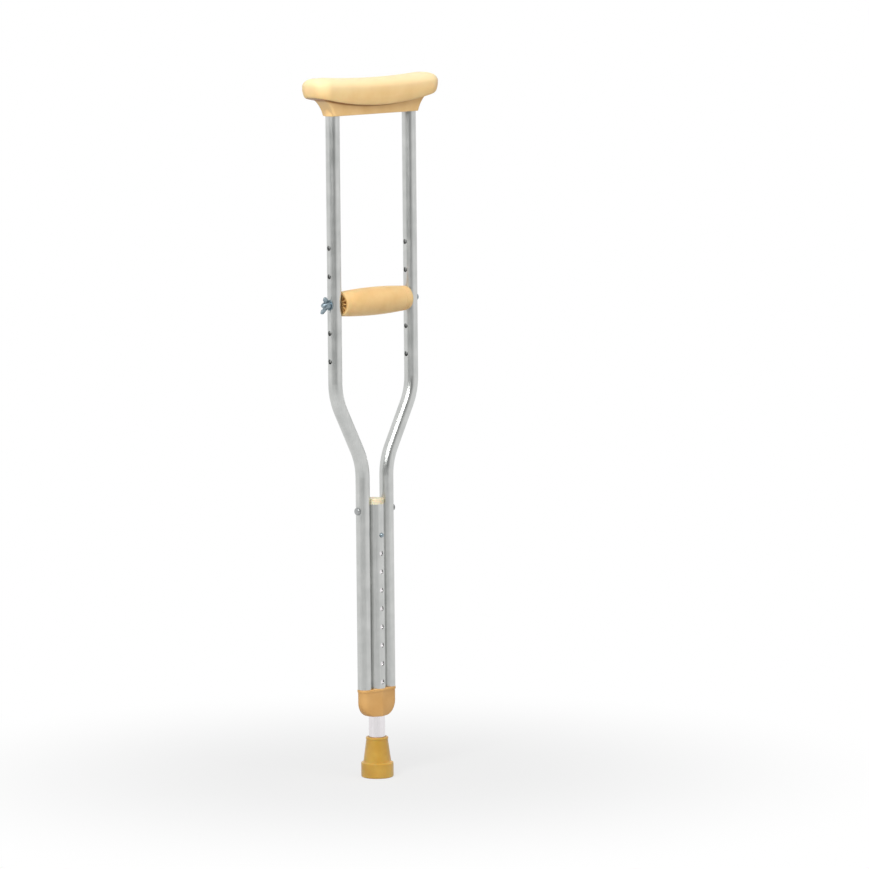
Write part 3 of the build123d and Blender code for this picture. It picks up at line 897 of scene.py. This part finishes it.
def makeLamp(name, lamp):
    data = bpy.data.lights.new(name, "AREA")
    data.shape = "RECTANGLE"
    data.size, data.size_y = lamp["size"]
    data.energy = lamp["watts"]
    light = addObject(data, name)
    light.location = flatBack * lamp["back"] + cameraRight * lamp["right"] + Vector((0, 0, lamp["up"]))
    light.visible_glossy = lamp["mirrored"]
    light.rotation_euler = (Vector(lampAim) - light.location).to_track_quat("-Z", "Y").to_euler()


for lampName, lampSizes in lamps.items():
    makeLamp(lampName, lampSizes)

studio = {
    "ambient": 0.36,
    "dimColour": "#626462",
    "dimTurn": -5.0,  # degrees to the camera's right
    "dimFrom": 0.55,  # how squarely a direction faces the dim stretch: 1 is its middle
    "dimFull": 0.93,
}


def makeWorld():
    # white all round for what the camera and the metal see, with a dim stretch of room
    # behind the camera that the tubes mirror as a dark band
    world = bpy.data.worlds.new("studio")
    bpy.context.scene.world = world
    world.use_nodes = True
    tree = world.node_tree
    tree.nodes.clear()
    turn = radians(studio["dimTurn"])
    dim = flatBack * cos(turn) + cameraRight * sin(turn)
    direction = addNode(tree, "ShaderNodeTexCoord").outputs["Generated"]
    flat = addNode(tree, "ShaderNodeVectorMath", {1: (1, 1, 0)}, {0: direction}, operation="MULTIPLY")
    unit = addNode(tree, "ShaderNodeVectorMath", links={0: flat.outputs[0]}, operation="NORMALIZE")
    facing = addNode(tree, "ShaderNodeVectorMath", {1: tuple(dim)}, {0: unit.outputs[0]},
                     operation="DOT_PRODUCT")
    ramp = addNode(tree, "ShaderNodeValToRGB", links={"Fac": facing.outputs["Value"]})
    bright, dark = ramp.color_ramp.elements
    bright.position = studio["dimFrom"]
    bright.color = pureWhite
    dark.position = studio["dimFull"]
    dark.color = hexColour(studio["dimColour"])
    room = addNode(tree, "ShaderNodeBackground", {"Strength": 1.0}, {"Color": ramp.outputs["Color"]})
    backdrop = addNode(tree, "ShaderNodeBackground", {"Color": pureWhite, "Strength": 1.0})
    ambient = addNode(tree, "ShaderNodeBackground", {"Color": pureWhite, "Strength": studio["ambient"]})
    path = addNode(tree, "ShaderNodeLightPath").outputs
    mirrored = addNode(tree, "ShaderNodeMixShader",
                       links={0: path["Is Glossy Ray"], 1: ambient.outputs[0], 2: room.outputs[0]})
    seen = addNode(tree, "ShaderNodeMath", operation="MAXIMUM",
                   links={0: path["Is Camera Ray"], 1: path["Is Transmission Ray"]})
    whole = addNode(tree, "ShaderNodeMixShader",
                    links={0: seen.outputs[0], 1: mirrored.outputs[0], 2: backdrop.outputs[0]})
    addNode(tree, "ShaderNodeOutputWorld", links={"Surface": whole.outputs[0]})


makeWorld()
bpy.context.scene.view_settings.view_transform = "Standard"
print("floor, camera and light made")
